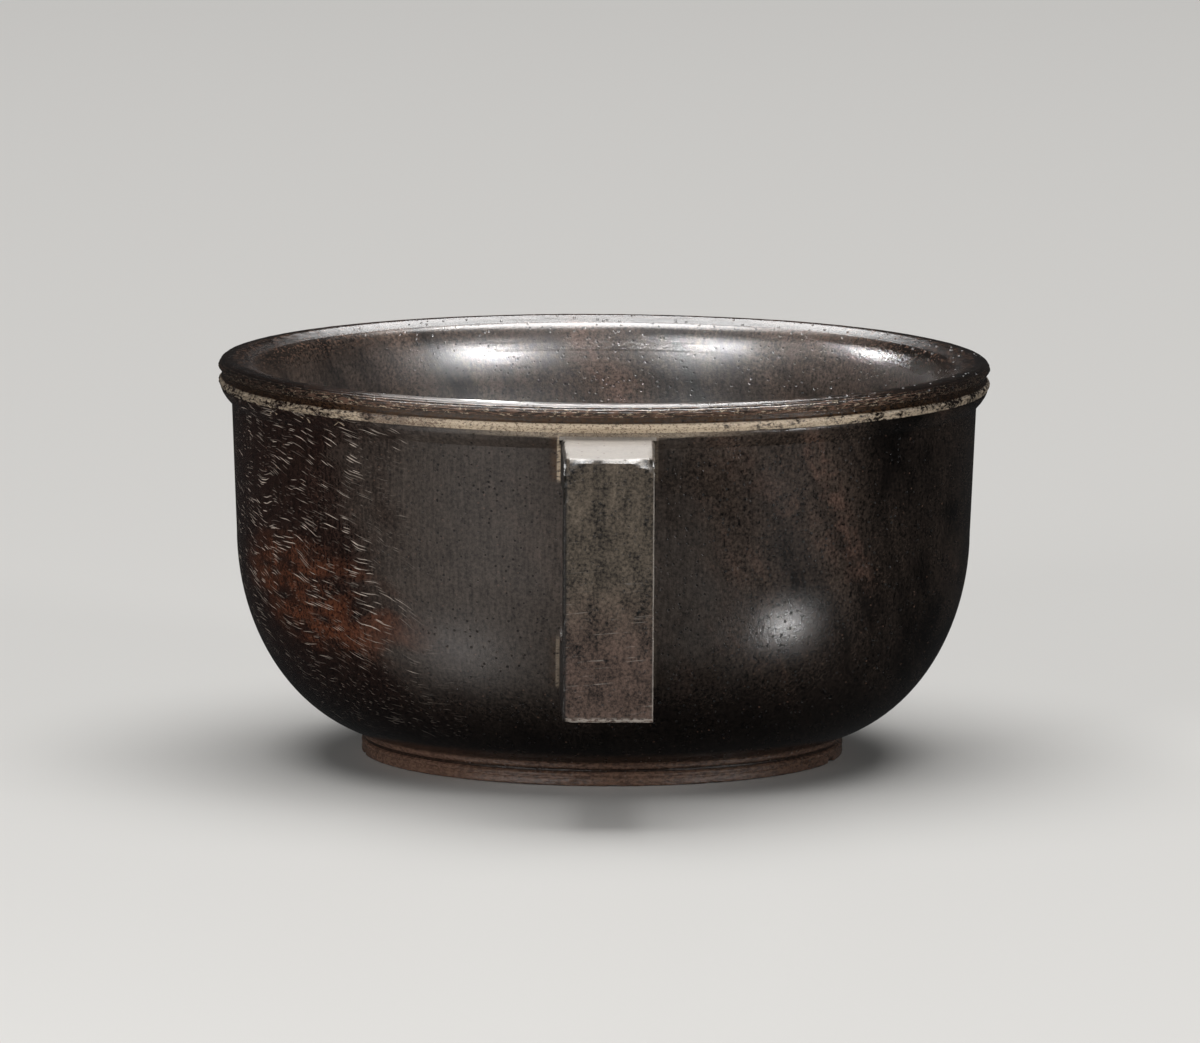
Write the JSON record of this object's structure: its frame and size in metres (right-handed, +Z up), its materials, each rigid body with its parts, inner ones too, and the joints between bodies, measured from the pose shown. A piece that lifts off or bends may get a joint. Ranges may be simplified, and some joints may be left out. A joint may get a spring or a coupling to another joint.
{
  "type": "two-handled wooden cup",
  "caption": "Wooden cup turned and carved from one block: round bowl, beaded rim, low foot ring and a square pierced handle on each side, for drinking or display.",
  "frame": {"origin": "middle of the foot ring's underside", "axes": "+Z up through the bowl, Y through both handles, with the pictured handle at -Y, X across them"},
  "size_m": [0.08, 0.111, 0.0411],
  "materials": {
    "dark_hardwood": "polished by hand, satin, with open pores, curly grain and dust in the creases"
  },
  "bodies": {
    "root": {"cup": "dark_hardwood"}
  },
  "joints": []
}
